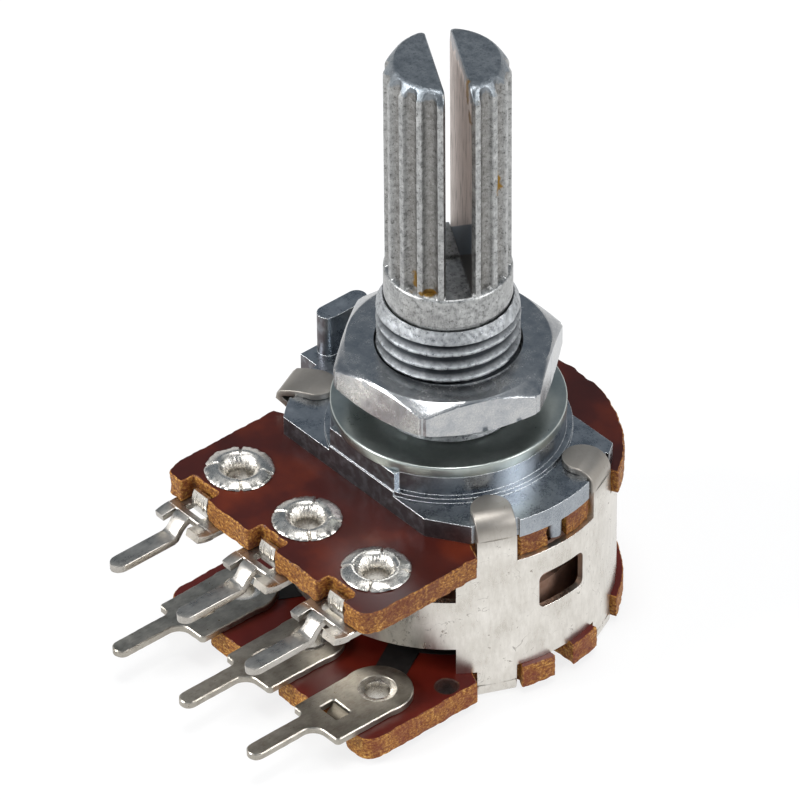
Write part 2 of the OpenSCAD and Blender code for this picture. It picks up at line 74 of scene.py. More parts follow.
turn[:3, 0], turn[:3, 1], turn[:3, 2], turn[:3, 3] = cam_right, cam_up, -ahead, camera_at * MM
camera.matrix_world = Matrix(turn.tolist())
bpy.context.collection.objects.link(camera)
bpy.context.scene.camera = camera


def linear(code):
    """A colour's sRGB hex code as linear red, green, blue and an alpha of 1."""
    s = np.array([int(code[i:i + 2], 16) for i in (1, 3, 5)]) / 255
    return (*np.where(s <= 0.04045, s / 12.92, ((s + 0.055) / 1.055) ** 2.4), 1.0)


def add(tree, kind, sockets=None, **settings):
    """Adds a node, gives it its settings, and sets or links each named or numbered input socket."""
    new = tree.nodes.new("ShaderNode" + kind)
    for key, value in settings.items():
        setattr(new, key, value)
    for key, value in (sockets or {}).items():
        if isinstance(value, bpy.types.NodeSocket):
            tree.links.new(value, new.inputs[key])
        else:
            new.inputs[key].default_value = value
    return new


def math(tree, operation, *values):
    """Adds a math node for the operation on the values, numbers or sockets, and returns its output."""
    return add(tree, "Math", dict(enumerate(values)), operation=operation).outputs[0]


def ramp(tree, factor, stops):
    """Adds a colour ramp with stops of (place, colour code), in order, and returns its colour output."""
    new = add(tree, "ValToRGB", {0: factor})
    points = new.color_ramp.elements
    for point, (place, code) in ((points[1], stops[-1]), (points[0], stops[0])):
        point.position, point.color = place, linear(code)
    for place, code in stops[1:-1]:
        points.new(place).color = linear(code)
    return new.outputs[0]


# Studio: a white table under a tent that is bright near the horizon and greyer above, which is what
# the level metal faces mirror, with one soft lamp on the left and a weaker one on the right.
def paper_table():
    """White paper: lit as paper for the object, and near white where it is seen or mirrored."""
    look = bpy.data.materials.new("white_paper")
    look.use_nodes = True
    tree = look.node_tree
    tree.nodes.clear()
    path = add(tree, "LightPath")
    seen = math(tree, "MAXIMUM", path.outputs["Is Camera Ray"], path.outputs["Is Glossy Ray"])
    seen = math(tree, "MAXIMUM", seen, path.outputs["Is Transmission Ray"])
    share = math(tree, "MULTIPLY", seen, 0.8)
    paper = add(tree, "BsdfDiffuse", {"Color": linear("#F4F4F4")})
    white = add(tree, "Emission", {"Color": linear("#FFFFFF"), "Strength": 1.0})
    mixed = add(tree, "MixShader", {0: share, 1: paper.outputs[0], 2: white.outputs[0]})
    add(tree, "OutputMaterial", {0: mixed.outputs[0]})
    return look


table_half = 3.0
table_level = cad_box[0][2]
table = bpy.data.meshes.new("table")
table.from_pydata([(x * table_half, y * table_half, table_level) for x, y in ((-1, -1), (1, -1), (1, 1), (-1, 1))],
                  [], [(0, 1, 2, 3)])
table = bpy.data.objects.new("table", table)
table.data.materials.append(paper_table())
bpy.context.collection.objects.link(table)
table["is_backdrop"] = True

tent = bpy.data.worlds.new("tent")
tent.use_nodes = True
tree = tent.node_tree
tree.nodes.clear()
height = add(tree, "SeparateXYZ", {0: add(tree, "TexCoord").outputs["Generated"]}).outputs["Z"]
cloth = ramp(tree, height, [(0.0, "#FFFFFF"), (0.22, "#F2F2F2"), (0.45, "#6C7783"), (0.72, "#808A94"),
                            (1.0, "#E8EAEC")])
add(tree, "OutputWorld", {0: add(tree, "Background", {0: cloth, 1: 0.85}).outputs[0]})
bpy.context.scene.world = tent

for name, place, size, power in (("soft_lamp_left", (-0.30, -0.62, 0.42), 0.35, 5.0),
                                 ("soft_lamp_right", (0.62, 0.30, 0.40), 0.35, 3.0),
                                 ("soft_lamp_above", (0.0, 0.0, 0.80), 0.30, 3.0)):
    lamp = bpy.data.lights.new(name, "AREA")
    lamp.shape, lamp.size, lamp.energy = "DISK", size, power
    lamp = bpy.data.objects.new(name, lamp)
    lamp.location = place
    lamp.rotation_euler = (-Vector(place)).to_track_quat("-Z", "Y").to_euler()
    bpy.context.collection.objects.link(lamp)


# Mounting washer: a punched, plated steel ring with rounded rims, loose round the bushing on the boss.
# It is the first metal piece, so the helpers that shape and paint metal are here.
def soften(corners, radius, steps=5):
    """Rounds a closed outline: each corner c becomes (1-t)^2 a + 2t(1-t) c + t^2 b, with a and b on its
    two sides at the radius from it, or at half the side where that is shorter."""
    c = np.array(corners, float)
    reach = np.broadcast_to(np.asarray(radius, float), len(c))[:, None]
    sides = [np.roll(c, 1, 0) - c, np.roll(c, -1, 0) - c]
    lengths = [np.maximum(np.linalg.norm(side, axis=1, keepdims=True), 1e-9) for side in sides]
    a, b = [c + side / length * np.minimum(reach, length / 2) for side, length in zip(sides, lengths)]
    t = np.linspace(0, 1, steps + 1)[:, None, None]
    return ((1 - t) ** 2 * a + 2 * t * (1 - t) * c + t ** 2 * b).transpose(1, 0, 2).reshape(-1, 2)


def about_axis(r, angle, z):
    """Points at a radius, an angle and a height about the shaft's axis: (r cos angle, r sin angle, z)."""
    return np.stack(np.broadcast_arrays(r * np.cos(angle), r * np.sin(angle), z), -1)


def revolve(profile, columns=192):
    """Turns a closed profile of (radius, height) about the Z axis: point (i, j) is profile point i at angle j."""
    r, z = np.concatenate([profile, profile[:1]]).T[:, :, None]
    return about_axis(r, np.linspace(0, 2 * np.pi, columns + 1)[None], z)


def ripple(points, size, seed, terms=10):
    """Smooth noise at points: the mean of sine waves in random directions, with lengths about size in mm."""
    rng = np.random.default_rng(seed)
    way = rng.normal(size=(terms, 3))
    way *= 2 * np.pi / (size * rng.uniform(0.6, 1.7, terms) * np.linalg.norm(way, axis=1))[:, None]
    return np.sin(points @ way.T + rng.uniform(0, 6.28, terms)).sum(-1) / terms ** 0.5


def piece(name, parts, look, body="housing", replaces=(), crease=30):
    """Makes one object out of surfaces in mm, welds their seams and poles and turns the faces outward.
    A part is a grid of points, whose faces join neighbours, or a pair of points and faces. An edge is
    sharp where it turns by more than the crease in degrees. Crease and look are for all parts or for each."""
    points, faces, limits = [], [], []
    creases = crease if isinstance(crease, list) else [crease] * len(parts)
    looks = look if isinstance(look, list) else [look] * len(parts)
    slots = list(dict.fromkeys(looks))
    for part, limit, paint in zip(parts, creases, looks):
        start = sum(map(len, points))
        if isinstance(part, tuple):
            spots, corners = part
        else:
            index = np.arange(part.shape[0] * part.shape[1]).reshape(part.shape[:2])
            corners = np.stack([index[:-1, :-1], index[1:, :-1], index[1:, 1:], index[:-1, 1:]], -1).reshape(-1, 4)
            spots = part.reshape(-1, 3)
        points.append(np.asarray(spots, float))
        faces += [[start + int(corner) for corner in face] for face in corners]
        limits += [(np.radians(limit), slots.index(paint))] * len(corners)
    mesh = bpy.data.meshes.new(name)
    mesh.from_pydata((np.concatenate(points) * MM).tolist(), [], faces)
    work = bmesh.new()
    work.from_mesh(mesh)
    turn = work.faces.layers.float.new("crease")
    for face, (limit, paint) in zip(work.faces, limits):
        face[turn], face.smooth, face.material_index = limit, True, paint
    bmesh.ops.remove_doubles(work, verts=work.verts[:], dist=2e-7)
    bmesh.ops.recalc_face_normals(work, faces=work.faces[:])
    for edge in work.edges:
        edge.smooth = edge.calc_face_angle(0) < min([face[turn] for face in edge.link_faces], default=0)
    work.faces.layers.float.remove(turn)
    work.to_mesh(mesh)
    work.free()
    for paint in slots:
        mesh.materials.append(paint)
    made = bpy.data.objects.new(name, mesh)
    bpy.context.collection.objects.link(made)
    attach(made, body)
    if replaces:
        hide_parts(*replaces)
    return made


def remap(tree, value, low, high, start=0.0, end=1.0):
    """Adds a clamped linear map of a value from low..high to start..end, and returns its output."""
    return add(tree, "MapRange", {0: value, 1: low, 2: high, 3: start, 4: end}).outputs[0]


def noise(tree, place, size, detail, roughness=0.5, distortion=0.0):
    """Adds noise with blotches of about a size in mm, and returns its output."""
    return add(tree, "TexNoise", {"Vector": place, "Scale": 1 / (size * MM), "Detail": detail,
                                  "Roughness": roughness, "Distortion": distortion}).outputs[0]


def blank(name):
    """A new material: itself, its node tree, its shader, and its node of texture coordinates."""
    look = bpy.data.materials.new(name)
    look.use_nodes = True
    tree = look.node_tree
    return look, tree, tree.nodes["Principled BSDF"], add(tree, "TexCoord")


def opened(look):
    """A material's node tree and its Object coordinates, to build masks from."""
    return look.node_tree, add(look.node_tree, "TexCoord").outputs["Object"]


def metal(name, shades, rough, grain, dent=0.0, stretch=(1, 1, 1), specks=None):
    """A bare or plated metal: its shade and roughness drift in clouds of the grain's size in mm, a finer
    noise drawn out along the stretch gives brush marks, and specks are the share and shade of pits."""
    look, tree, shader, where = blank(name)
    place = where.outputs["Object"]
    cloud = noise(tree, place, grain, 5.0, 0.6)
    drawn = add(tree, "Mapping", {"Vector": place, "Scale": stretch}).outputs[0]
    brush = noise(tree, drawn, grain / 9, 4.0, 0.7)
    both = add(tree, "Mix", {0: 0.4, 2: cloud, 3: brush}, data_type="FLOAT")
    shade = ramp(tree, both.outputs[0], [(0.34, shades[0]), (0.64, shades[1])])
    if specks:
        deep = remap(tree, noise(tree, place, grain / 4, 3.0, 0.8), 0.60 - specks[0], 0.68 - specks[0])
        shade = add(tree, "Mix", {0: deep, 6: shade, 7: linear(specks[1])}, data_type="RGBA").outputs[2]
    tree.links.new(shade, shader.inputs["Base Color"])
    tree.links.new(remap(tree, both.outputs[0], 0.35, 0.65, rough[0], rough[1]), shader.inputs["Roughness"])
    shader.inputs["Metallic"].default_value = 1.0
    relief = add(tree, "Bump", {"Strength": 1.0, "Distance": dent * MM, "Height": both.outputs[0]})
    tree.links.new(relief.outputs[0], shader.inputs["Normal"])
    return look


def overlay(look, share, shade, rough=None):
    """Lays a shade, and a roughness if given, over a look by a share from 0 to 1 that a socket gives."""
    tree = look.node_tree
    shader = tree.nodes["Principled BSDF"]
    under = shader.inputs["Base Color"].links[0].from_socket
    over = add(tree, "Mix", {0: share, 6: under, 7: linear(shade)}, data_type="RGBA")
    tree.links.new(over.outputs[2], shader.inputs["Base Color"])
    if rough is not None:
        under = shader.inputs["Roughness"].links[0].from_socket
        over = add(tree, "Mix", {0: share, 2: under, 3: rough}, data_type="FLOAT")
        tree.links.new(over.outputs[0], shader.inputs["Roughness"])


def distance(tree, place, spot, scale):
    """The distance of a place from a spot in mm, after it is multiplied by the scale along X, Y and Z."""
    away = add(tree, "VectorMath", {0: place, 1: tuple(v * MM for v in spot)}, operation="SUBTRACT")
    away = add(tree, "VectorMath", {0: away.outputs[0], 1: scale}, operation="MULTIPLY")
    return add(tree, "VectorMath", {0: away.outputs[0]}, operation="LENGTH").outputs["Value"]


def from_axis(tree, place, low, high, start, end):
    """A mask that rises where the distance from the shaft's axis goes from start to end in mm, and is
    nought below the height low and above the height high."""
    share = remap(tree, distance(tree, place, (0, 0, 0), (1, 1, 0)), start * MM, end * MM)
    height = add(tree, "SeparateXYZ", {0: place}).outputs["Z"]
    for limit, test in ((low, "GREATER_THAN"), (high, "LESS_THAN")):
        share = math(tree, "MULTIPLY", share, math(tree, test, height, limit * MM))
    return share


washer_in, washer_out, washer_high = 3.59, 5.675, 0.58
washer_edge = soften([(washer_in, 0), (washer_out, 0), (washer_out, washer_high), (washer_in, washer_high)],
                     [0.05, 0.06, 0.12, 0.08])
# Plated steel: dark and smooth, so that its flat top mirrors the grey tent in blurred patches.
washer_steel = metal("plated_steel_washer", ("#A0A7A3", "#B6BCB8"), (0.27, 0.34), 2.4, 0.001)
piece("washer", [revolve(washer_edge)], washer_steel, replaces=["mounting_washer"])

# Hex nut: a thin steel nut, turned and milled, chamfered at 30 degrees on both faces and nickel plated.
# It is run part of the way down the bushing's thread, and its corners are nicked.
nut_low, nut_high, nut_half, nut_face, nut_bore, nut_turned = 1.95, 3.95, 5.0, 4.9, 3.5, 7.0
nut_angle = np.linspace(0, 2 * np.pi, 481)
from_flat = (nut_angle - np.radians(nut_turned)) % (np.pi / 3) - np.pi / 6
nut_wall = nut_half / np.cos(from_flat)
nut_wall = nut_wall - 0.16 * np.maximum(0, (nut_wall - 5.66) / 0.115) ** 2
nut_rise = (nut_wall - nut_face) * np.tan(np.radians(30))
nut_rows = [(0 * nut_angle + nut_bore + 0.06, 0 * nut_angle + nut_high),
            (0 * nut_angle + nut_face - 0.03, 0 * nut_angle + nut_high)]
nut_rows += [(nut_face + (nut_wall - nut_face - 0.04) * t, nut_high - nut_rise * t)
             for t in (0.05, 0.35, 0.7, 0.93)]
nut_rows += [(nut_wall, nut_high - nut_rise - 0.05)]
nut_rows += [(nut_wall, nut_high - nut_rise - 0.05 + (nut_low - nut_high + 2 * nut_rise + 0.1) * t)
             for t in (0.2, 0.4, 0.6, 0.8, 1.0)]
nut_rows += [(nut_face + (nut_wall - nut_face - 0.04) * t, nut_low + nut_rise * t) for t in (0.93, 0.5, 0.05)]
nut_rows += [(0 * nut_angle + nut_face - 0.03, 0 * nut_angle + nut_low),
             (0 * nut_angle + nut_bore + 0.06, 0 * nut_angle + nut_low)]
thread_pitch = 0.75
for step in np.linspace(0, 1, 40):
    ridge = np.abs((step * (nut_high - nut_low - 0.3) / thread_pitch - nut_angle / (2 * np.pi)) % 1 * 2 - 1)
    fade = min(1.0, step * 8, (1 - step) * 8)
    nut_rows.append((nut_bore + 0.04 * (1 - fade) + 0.04 * fade * ridge, 0 * nut_angle + nut_low + 0.15
                     + step * (nut_high - nut_low - 0.3)))
nut_rows.append(nut_rows[0])
nut_r, nut_z = np.array(nut_rows).transpose(1, 0, 2)
nut_grid = about_axis(nut_r, nut_angle, nut_z)
nut_grid[6:12, :, :2] *= (1 - 0.003 * np.maximum(0, ripple(nut_grid[6:12], 0.7, 5) - 0.4))[..., None]
# Nickel plated steel: pale, with clouds of pits on the flats where the plating is rough.
nut_steel = metal("nickel_plated_nut", ("#9DA1A6", "#C6C6C5"), (0.19, 0.30), 0.8, 0.006, specks=(-0.05, "#85868A"))
piece("nut", [nut_grid], nut_steel, replaces=["hex_nut"], crease=30)


# Bushing and plate: one zinc die casting, which the shell's claws hold down on the wafer. Plate, boss,
# pad and lug are the solid's own with eased edges; the worn thread fades into a long lead chamfer.
def cad_copy(node, high=None, low=None, ease=0.0, core=100.0):
    """Points in mm and faces of a CAD node's mesh, welded, with its flat faces joined, cut level at the
    heights given where it lies within the core's radius, capped there, and with its sharp edges eased.
    The faces that ease the edges come as a part of their own, after the others."""
    work = bmesh.new()
    work.from_mesh(nodes[node].data)
    work.transform(nodes[node].matrix_world)
    bmesh.ops.remove_doubles(work, verts=work.verts[:], dist=1e-7)
    bmesh.ops.dissolve_limit(work, angle_limit=np.radians(0.4), verts=work.verts[:], edges=work.edges[:])
    bmesh.ops.recalc_face_normals(work, faces=work.faces[:])
    eased = work.faces.layers.int.new("eased")
    if ease:
        sharp = [edge for edge in work.edges if len(edge.link_faces) == 2 and edge.calc_face_angle(0) > 0.6]
        made = bmesh.ops.bevel(work, geom=sharp, offset=ease * MM, segments=3, profile=0.5, affect="EDGES",
                               clamp_overlap=True)
        for face in made["faces"]:
            face[eased] = 1
    for level, way in ((high, 1), (low, -1)):
        if level is not None:
            inside = [face for face in work.faces if max(v.co.xy.length for v in face.verts) < core * MM]
            inside += dict.fromkeys([part for face in inside for part in (*face.verts, *face.edges)])
            bmesh.ops.bisect_plane(work, geom=inside, dist=1e-8, plane_co=(0, 0, level * MM),
                                   plane_no=(0, 0, way), clear_outer=True)
            rim = [edge for edge in work.edges if edge.is_boundary]
            bmesh.ops.triangle_fill(work, edges=rim, use_beauty=True, use_dissolve=False, normal=(0, 0, way))
    bmesh.ops.triangulate(work, faces=[face for face in work.faces if len(face.verts) > 4])
    work.verts.index_update()
    points = np.array([vert.co for vert in work.verts]) / MM
    sorts = [[[v.index for v in face.verts] for face in work.faces if face[eased] == kind] for kind in (0, 1)]
    work.free()
    return [(points, faces) for faces in sorts if faces]


thread_depth, crest_r, thread_end = 0.40, 3.47, 5.93
thread_angle = np.linspace(0, 2 * np.pi, 241)
thread_high = np.concatenate([np.linspace(-0.4, 5.9, 170), np.linspace(thread_end, 6.75, 24)])
turned = (thread_high[:, None] - thread_end) / thread_pitch - (thread_angle[None] + np.radians(40.9)) / (2 * np.pi)
groove = np.clip(1.25 * np.abs(turned % 1 * 2 - 1) - 0.16, 0, 1)
height = thread_high[:, None] + 0 * thread_angle
ground = about_axis(crest_r, thread_angle, height)
wear_and_reflection = 0.014 * (1 + ripple(ground, 0.9, 11))
fade = np.clip((height - 5.95) / 0.25, 0, 1)
thread_r = crest_r - 0.01 - wear_and_reflection * (1 - fade) - thread_depth * groove * (1 - fade)
lead = crest_r - 0.01 - np.maximum(0, height - 6.12) * (0.30 / 0.63)
thread_r = np.minimum(thread_r, lead - 0.022 * (1 + ripple(ground, 0.4, 12)) * fade)
bush_bore = 3.08
thread_grid = about_axis(thread_r, thread_angle, height)
bore_grid = about_axis(bush_bore, thread_angle, np.array([[6.72], [6.0], [-0.4]]))
thread_grid = np.concatenate([thread_grid, bore_grid, thread_grid[:1]])
# Zinc die casting: a dull bluish grey, mottled, with brighter clouds and small dark pits.
casting = metal("zinc_casting", ("#858B92", "#AEB3B8"), (0.22, 0.36), 1.1, 0.008, specks=(-0.05, "#6C7178"))
# Painted reflection: the faces towards the pins are painted a dull brownish grey in blotches, standing in for the
# dark wafer mirrored in them, and made rougher.
tree, place = opened(casting)
facing = add(tree, "SeparateXYZ", {0: add(tree, "TexCoord").outputs["Normal"]}).outputs["Y"]
painted_reflection_blotches = remap(tree, noise(tree, place, 0.5, 4.0), 0.35, 0.55, 0.45, 0.85)
overlay(casting, math(tree, "MULTIPLY", remap(tree, facing, -0.6, -0.9), painted_reflection_blotches), "#4E4446", 0.45)
# Highlit zinc: the same casting's eased edges, painted bright as a painted highlight where the edges catch the light,
# and nicked.
edge_highlight = metal("zinc_edge_painted_highlight", ("#B4B8BB", "#EEF0F0"), (0.16, 0.40), 0.30, 0.03, specks=(-0.04, "#6E7277"))
# Worn zinc: rubbed and pitted on the crests of the thread, and painted dark in its roots as painted shade.
thread_zinc = metal("zinc_thread_wear_and_painted_shade", ("#74777B", "#C4C7C9"), (0.20, 0.48), 0.24, 0.040, specks=(-0.01, "#46484C"))
tree, place = opened(thread_zinc)
# Painted shade: the thread's roots, nearer the axis, are painted dark and rougher.
overlay(thread_zinc, from_axis(tree, place, 0.6, 6.1, 3.42, 3.16), "#3A3D41", 0.5)
piece("bushing_and_plate", cad_copy("bushing_plate", high=0.06, ease=0.13, core=3.62) + [thread_grid],
      [casting, edge_highlight, thread_zinc], replaces=["bushing_plate"], crease=[12, 12, 38])

# Shaft: one zinc die casting, slotted and knurled by the die, which turns in the bushing and is held by
# a clip. Two knurled prongs stand on a smooth collar; the parts below it are the solid's own.
knurl_r, knurl_deep, groove_r, teeth, groove_turn = 3.0, 0.38, 0.375, 18, 7.5
shaft_top, tip_in, tip_rise, knurl_low, slot_half, slot_way = 20.3, 0.45, 0.75, 8.5, 0.6, -30.0


def prong(side):
    """One half of the slotted knurl: its section, an arc cut by grooves and closed by the slot's wall,
    with worn corners, is drawn up from the collar and drawn in over the tip by a rounded shoulder."""
    heights = np.concatenate([[knurl_low, 8.56, 8.62, 8.8], np.linspace(9.1, shaft_top - tip_rise, 40),
                              shaft_top - tip_rise * np.array([0.85, 0.65, 0.45, 0.28, 0.15, 0.06, 0.02, 0.0])])
    edge = np.arcsin(slot_half / knurl_r)
    arc = np.linspace(edge, np.pi - edge, 300)
    pitch = 2 * np.pi / teeth
    away = np.abs((arc - np.radians(groove_turn) * side + pitch / 2) % pitch - pitch / 2) * knurl_r
    bite = np.sqrt(np.maximum(0, groove_r ** 2 - np.minimum(away, groove_r) ** 2)) - (groove_r - knurl_deep)
    bite = np.maximum(0, bite)
    rows = []
    for z in heights:
        rise = np.clip((z - shaft_top + tip_rise) / tip_rise, 0, 1)
        limit = knurl_r - tip_in * rise ** 1.3 - 0.06 * max(0, rise - 0.9) / 0.1
        start = np.clip((z - knurl_low - 0.04) / 0.06, 0, 1)
        r = np.minimum(knurl_r - bite * start, limit)
        ease = 0.07 * max(0, (rise - 0.85) / 0.15) ** 2
        corner = 0.10 + 0.25 * rise
        outer = np.stack([r * np.cos(arc), r * np.sin(arc)], -1)
        outer[:, 1] = np.maximum(outer[:, 1], slot_half + ease)
        away_y = np.clip(1 - (outer[:, 1] - slot_half - ease) / corner, 0, 1)
        outer[:, 0] -= np.sign(outer[:, 0]) * corner * (1 - np.sqrt(np.maximum(0, 1 - away_y ** 2))) * 0.8
        wall_x = np.linspace(outer[-1, 0], outer[0, 0], 26)[1:-1]
        wall = np.stack([wall_x, 0 * wall_x + slot_half + ease], -1)
        ring = np.concatenate([outer, wall, outer[:1]])
        rows.append(np.concatenate([ring, np.full((len(ring), 1), z)], 1))
    middle = np.array([0.0, 1.5])
    for end in (0, -1):
        cap = [np.concatenate([middle + (rows[end][:, :2] - middle) * share, rows[end][:, 2:]], 1)
               for share in (0.9, 0.6, 0.3, 0.0)]
        rows = cap[::-1] + rows if end == 0 else rows + cap
    grid = np.array(rows)
    rough = 0.010 * ripple(grid * (1, 1, 0.35), 0.45, 21 + side) * (np.linalg.norm(grid[..., :2], axis=-1) > 2.4)
    rough[:4] = rough[-5:] = 0
    grid[..., :2] *= (1 - np.maximum(0, rough) / 2.8)[..., None]
    angle = np.radians(slot_way) + (0 if side > 0 else np.pi)
    c, s = np.cos(angle), np.sin(angle)
    x, y = grid[..., 0].copy(), grid[..., 1].copy()
    grid[..., 0], grid[..., 1] = c * x - s * y, s * x + c * y
    return grid


collar = revolve(soften([(0.0, 6.5), (3.02, 6.5), (3.02, 6.9), (3.08, 6.93), (3.08, 8.42), (2.96, 8.52), (0.0, 8.52)],
                        [0, 0, 0.02, 0.05, 0.10, 0.05, 0]), 160)
# The slot's floor lies a little higher over its far half: a low block with eased upper rims.
c, s = np.cos(np.radians(slot_way)), np.sin(np.radians(slot_way))
step_block = []
for z, grow in ((8.4, 0), (8.4, 1), (8.66, 1), (8.70, 0.97), (8.70, 0)):
    ring = np.array([(-2.88, -0.61), (-0.28, -0.61), (-0.28, 0.61), (-2.88, 0.61), (-2.88, -0.61)])
    x, y = ((-1.58, 0) + (ring - (-1.58, 0)) * grow).T
    step_block.append(np.stack([x * c - y * s, x * s + y * c, 0 * x + z], -1))
step_block = np.array(step_block)
# Zinc casting, worn: grey ridges with fine pits, painted darker and warmer down in the grooves as painted shade,
# paler and rough in the slot, with ochre stains in a few places.
shaft_zinc = metal("zinc_shaft_wear_painted_shade_and_reflection", ("#727373", "#C8C9C8"), (0.26, 0.50), 0.32, 0.016, stretch=(1, 1, 0.12),
                   specks=(-0.01, "#5E5B56"))
tree, place = opened(shaft_zinc)
height = add(tree, "SeparateXYZ", {0: place}).outputs["Z"]
# Painted shade: the knurl's grooves, nearer the axis, are painted darker and warmer.
deep = from_axis(tree, place, knurl_low + 0.03, shaft_top - 0.12, 2.97, 2.66)
overlay(shaft_zinc, math(tree, "MULTIPLY", deep, 0.48), "#67615A", 0.5)
grit = noise(tree, place, 0.13, 3.0, 0.7)
for low, high, shade, most in ((0.57, 0.65, "#4B4946", 0.7), (0.42, 0.32, "#D0D2D2", 0.35)):
    overlay(shaft_zinc, remap(tree, grit, low, high, 0.0, most), shade, 0.5)
slot_side = (-np.sin(np.radians(slot_way)), np.cos(np.radians(slot_way)), 0.0)
aside = add(tree, "VectorMath", {0: place, 1: slot_side}, operation="DOT_PRODUCT").outputs["Value"]
in_slot = remap(tree, math(tree, "ABSOLUTE", aside), (slot_half + 0.03) * MM, (slot_half + 0.01) * MM)
in_slot = math(tree, "MULTIPLY", in_slot, math(tree, "GREATER_THAN", height, 8.75 * MM))
overlay(shaft_zinc, in_slot, "#DCD2CC", 0.62)
streaks = add(tree, "Mapping", {"Vector": place, "Scale": (1, 1, 0.12)}).outputs[0]
streaks = remap(tree, noise(tree, streaks, 0.16, 4.0), 0.50, 0.66, 0.0, 0.6)
overlay(shaft_zinc, math(tree, "MULTIPLY", streaks, in_slot), "#8E857E", 0.6)
# The slot's walls are painted darker below two slanted lines, blue-grey and then brown-grey, as painted shade lower
# down in the slot.
slant = add(tree, "VectorMath", {0: place, 1: (-0.597, 0.517, 1.0)}, operation="DOT_PRODUCT").outputs["Value"]
for level, shade in ((10.68, "#828B94"), (8.93, "#6C6864")):
    share = remap(tree, slant, (level + 0.04) * MM, (level - 0.04) * MM)
    overlay(shaft_zinc, math(tree, "MULTIPLY", share, in_slot), shade, 0.5)
# The ends of the prongs are painted blue-grey and made smooth, in patches that run down over the shoulder: a painted
# reflection of the grey tent above.
wear_and_reflection = math(tree, "MULTIPLY_ADD", noise(tree, place, 0.55, 4.0), 1.6 * MM, height)
share = remap(tree, wear_and_reflection, (shaft_top + 0.20) * MM, (shaft_top + 0.36) * MM, 0.0, 0.6)
overlay(shaft_zinc, share, "#76818B", 0.36)
# Ochre stains: each has a place and a reach along X, Y and Z, and a ragged edge.
ragged = noise(tree, place, 0.25, 4.0)
for spot, reach in (((0.64, -2.88, 9.15), (0.25, 0.5, 0.7)), ((1.42, -2.5, 8.72), (0.45, 0.5, 0.2)),
                    ((2.74, 0.78, 14.1), (0.8, 0.36, 0.8)), ((1.86, -0.36, 19.6), (0.4, 0.4, 0.75)),
                    ((2.3, -0.62, 18.55), (0.4, 0.4, 0.36))):
    far = distance(tree, place, spot, tuple(1 / (v * MM) for v in reach))
    overlay(shaft_zinc, remap(tree, math(tree, "ADD", far, ragged), 1.50, 1.25, 0.0, 0.9), "#8C691E", 0.5)
piece("shaft_casting", cad_copy("shaft", high=6.6) + [collar, prong(1), prong(-1), step_block],
      shaft_zinc, body="rotor", replaces=["shaft"], crease=[30, 30, 34, 34, 30])

# Wafers: two stampings of phenolic paper, glossy dark red-brown on the faces and ochre on the sheared
# edges. The shell clamps them; the front one's film faces down, and the rear one is turned over.
def slab(outline, holes, low, high, ease, rough=0.0, seed=0, rows=7):
    """A flat plate as points and faces. Each closed loop runs with the material on its left and goes down
    the edge in rows, which draw in by the ease at the faces and by noise between; both faces are filled."""
    points, faces, top, bottom = [], [], [], []
    for loop in [outline, *holes]:
        loop = np.asarray(loop, float)
        along = np.roll(loop, -1, 0) - np.roll(loop, 1, 0)
        inward = np.stack([-along[:, 1], along[:, 0]], 1) / np.maximum(np.linalg.norm(along, axis=1), 1e-9)[:, None]
        t = np.linspace(0, 1, rows)
        height = np.concatenate([[high], high - ease - (high - low - 2 * ease) * t, [low]])
        inset = np.concatenate([[ease], 0 * t, [ease]])[:, None]
        wall = np.concatenate([np.repeat(loop[None], len(height), 0),
                               np.repeat(height[:, None, None], len(loop), 1)], -1)
        chips = 0.5 + 0.6 * ripple(wall, 0.5, seed) + 0.5 * ripple(wall, 1.7, seed + 1)
        inset = inset + rough * np.maximum(0, chips)
        wall[..., :2] += inward * inset[..., None]
        start = sum(map(len, points))
        index = start + np.arange(len(height) * len(loop)).reshape(len(height), -1)
        after = np.roll(index, -1, 1)
        faces += np.stack([index[:-1], index[1:], after[1:], after[:-1]], -1).reshape(-1, 4).tolist()
        points.append(wall.reshape(-1, 3))
        top.append(index[0])
        bottom.append(index[-1])
    points = np.concatenate(points)
    for rims in (top, bottom):
        order = np.concatenate(rims)
        fill = tessellate_polygon([[Vector(points[i]) for i in rim] for rim in rims])
        faces += [[int(order[i]) for i in corner] for corner in fill]
    return points, faces


def evenly(loop, gap):
    """Points at an even gap along a closed outline."""
    closed = np.concatenate([loop, loop[:1]])
    run = np.concatenate([[0], np.cumsum(np.linalg.norm(np.diff(closed, axis=0), axis=1))])
    at = np.arange(0, run[-1] - gap / 2, gap)
    return np.stack([np.interp(at, run, closed[:, axis]) for axis in (0, 1)], 1)


def circle(x, y, radius, count=72):
    """A hole's rim, clockwise."""
    angle = -np.linspace(0, 2 * np.pi, count, endpoint=False)
    return np.stack([x + radius * np.cos(angle), y + radius * np.sin(angle)], 1)


def notch(angle, half, floor):
    """Corners of a notch in the wafer's round rim, counterclockwise."""
    out = np.array([np.cos(np.radians(angle)), np.sin(np.radians(angle))])
    side, mouth = np.array([-out[1], out[0]]), (wafer_r ** 2 - half ** 2) ** 0.5
    return [out * mouth - side * half, out * floor - side * half,
            out * floor + side * half, out * mouth + side * half]


def arc_of(radius, start, end):
    """Points of an arc about the shaft's axis, between two angles in degrees."""
    return [radius * np.array([np.cos(a), np.sin(a)]) for a in np.radians(np.linspace(start, end, 24))]


wafer_r, wafer_half, wafer_end, wafer_side_end, pin_gap, eyelet_y = 8.45, 7.5, -11.6, -4.698, 5.0, -8.9
claw_turn, claw_half, claw_floor, peg_half, peg_floor = 24.5, 1.165, 7.67, 0.55, 6.95


